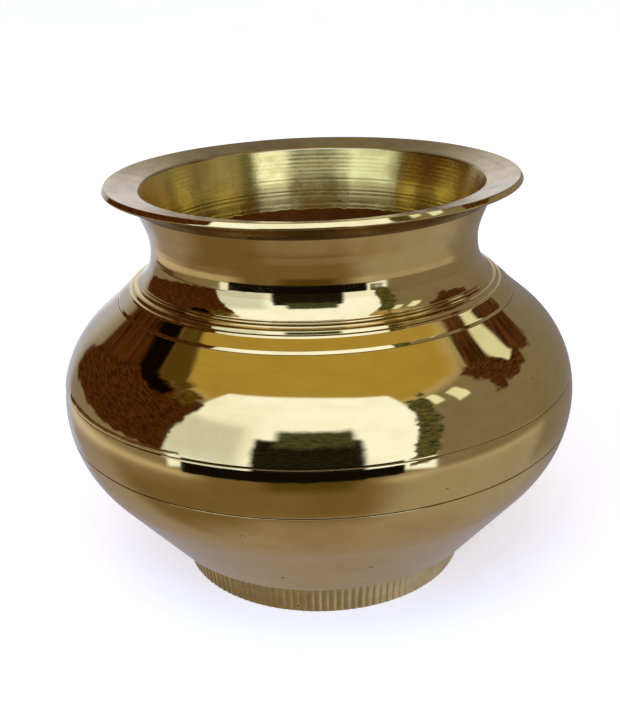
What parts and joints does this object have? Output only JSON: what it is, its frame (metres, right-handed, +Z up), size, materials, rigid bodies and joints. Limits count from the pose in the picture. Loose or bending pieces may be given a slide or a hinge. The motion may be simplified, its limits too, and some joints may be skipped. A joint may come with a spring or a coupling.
{
  "type": "kalash pot",
  "caption": "Round-bellied brass kalash pot with a wide dished rim, a short waisted neck with a machined bore, a stepped shoulder and a fluted foot ring.",
  "frame": {"origin": "centre of the circle that the foot ring rests on", "axes": "+Z up the pot's turning axis, towards the mouth; +X and +Y are any two square directions, because the pot is round"},
  "size_m": [0.127, 0.127, 0.0995],
  "materials": {
    "polished_brass": "lathe-turned and buffed to a mirror, with a few small casting pits",
    "brushed_brass": "fine circular brushing outside, machined rings inside the bore",
    "matte_brass": "satin, with fine upright flutes",
    "braze_metal": "dull, as it flowed and set"
  },
  "bodies": {
    "root": {"rim_neck_collar": "brushed_brass", "shoulder_shell": "polished_brass", "belly_girdle": "polished_brass", "lower_bowl": "polished_brass", "foot_ring": "matte_brass", "neck_braze": "braze_metal", "upper_belly_braze": "braze_metal", "lower_belly_braze": "braze_metal", "foot_braze": "braze_metal"}
  },
  "joints": []
}
